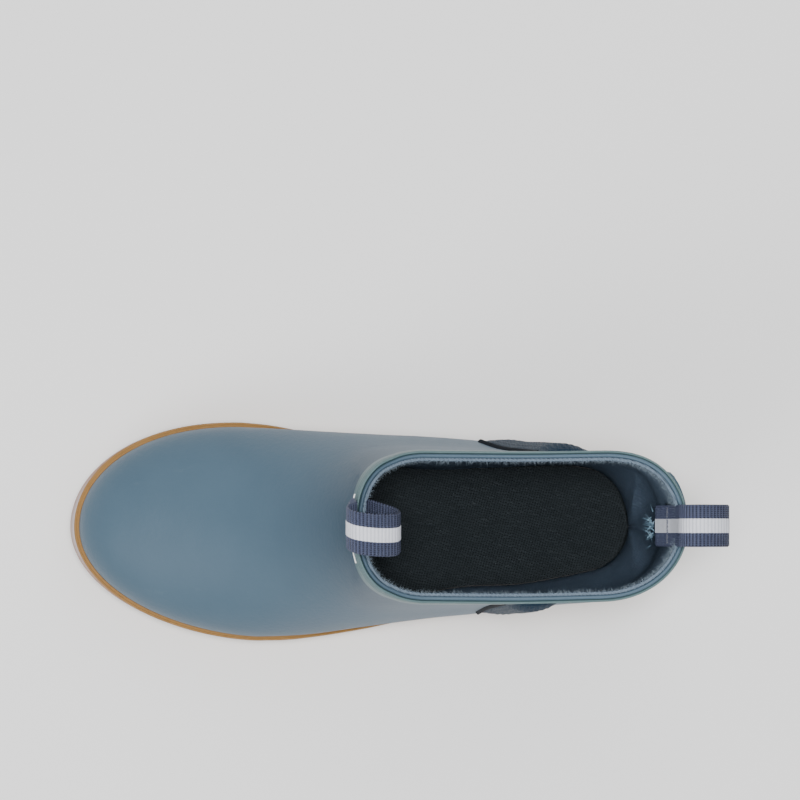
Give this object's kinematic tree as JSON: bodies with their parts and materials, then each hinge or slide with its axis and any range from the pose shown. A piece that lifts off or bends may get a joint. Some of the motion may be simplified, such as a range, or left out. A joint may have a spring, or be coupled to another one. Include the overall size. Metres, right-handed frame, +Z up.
{
  "type": "ankle deck boot",
  "caption": "Left ankle-height deck boot in moulded rubber with a gum sole, elastic side gores, a banded collar and a webbing pull loop front and back.",
  "frame": {"origin": "centre of the bounding box at the ground", "axes": "+X from toe to heel, +Y to the inner side of the foot, +Z up"},
  "size_m": [0.3136, 0.1094, 0.1877],
  "materials": {
    "gum_rubber": "matt gum rubber, siped tread",
    "gum_foxing": "matt gum rubber strip",
    "bumper_rubber": "light tan rubber, worn at the edge",
    "upper_rubber": "slate blue moulded rubber, soft sheen",
    "band_rubber": "grey green rubber band with fine ridges",
    "gore_elastic": "ribbed navy elastic",
    "piping_rubber": "dark raised piping",
    "stay_rubber": "slate blue rubber strip",
    "patch_print": "plain white print, left blank",
    "lining_knit": "navy brushed knit",
    "board_fibre": "pressed fibre board",
    "shank_steel": "spring steel strip",
    "filler_foam": "closed cell foam",
    "footbed_foam": "soft foam",
    "footbed_mesh": "charcoal mesh cloth",
    "loop_webbing": "ribbed nylon webbing",
    "loop_stripe": "silver white woven stripe",
    "tack_thread": "pale blue sewing thread"
  },
  "bodies": {
    "boot": {"outsole": "gum_rubber", "foxing_strip": "gum_foxing", "toe_bumper": "bumper_rubber", "upper": "upper_rubber", "collar_band": "band_rubber", "medial_gore": "gore_elastic", "lateral_gore": "gore_elastic", "medial_gore_piping": "piping_rubber", "lateral_gore_piping": "piping_rubber", "heel_stay": "stay_rubber", "front_patch": "patch_print", "lining": "lining_knit", "insole_board": "board_fibre", "shank": "shank_steel", "midsole_filler": "filler_foam", "footbed_foam": "footbed_foam", "footbed_cover": "footbed_mesh", "front_loop_outer_tail": "loop_webbing", "front_loop_inner_tail": "loop_webbing", "front_outer_bar_tack": "tack_thread", "front_inner_bar_tack": "tack_thread", "rear_loop_outer_tail": "loop_webbing", "rear_loop_inner_tail": "loop_webbing", "rear_outer_bar_tack": "tack_thread", "rear_inner_bar_tack": "tack_thread"},
    "front_loop": {"front_loop_webbing": "loop_webbing", "front_loop_stripe": "loop_stripe"},
    "rear_loop": {"rear_loop_webbing": "loop_webbing", "rear_loop_stripe": "loop_stripe"}
  },
  "joints": [
    {"name": "front_loop_swing", "type": "hinge", "parent": "boot", "child": "front_loop", "pos_m": [-0.00746, 0.00222, 0.1583], "axis": [0, 1, 0], "range_deg": [-50, 40], "stiffness_Nm_per_rad": 0.02},
    {"name": "rear_loop_swing", "type": "hinge", "parent": "boot", "child": "rear_loop", "pos_m": [0.13644, 0.00222, 0.1612], "axis": [0, 1, 0], "range_deg": [-60, 35], "stiffness_Nm_per_rad": 0.02}
  ]
}
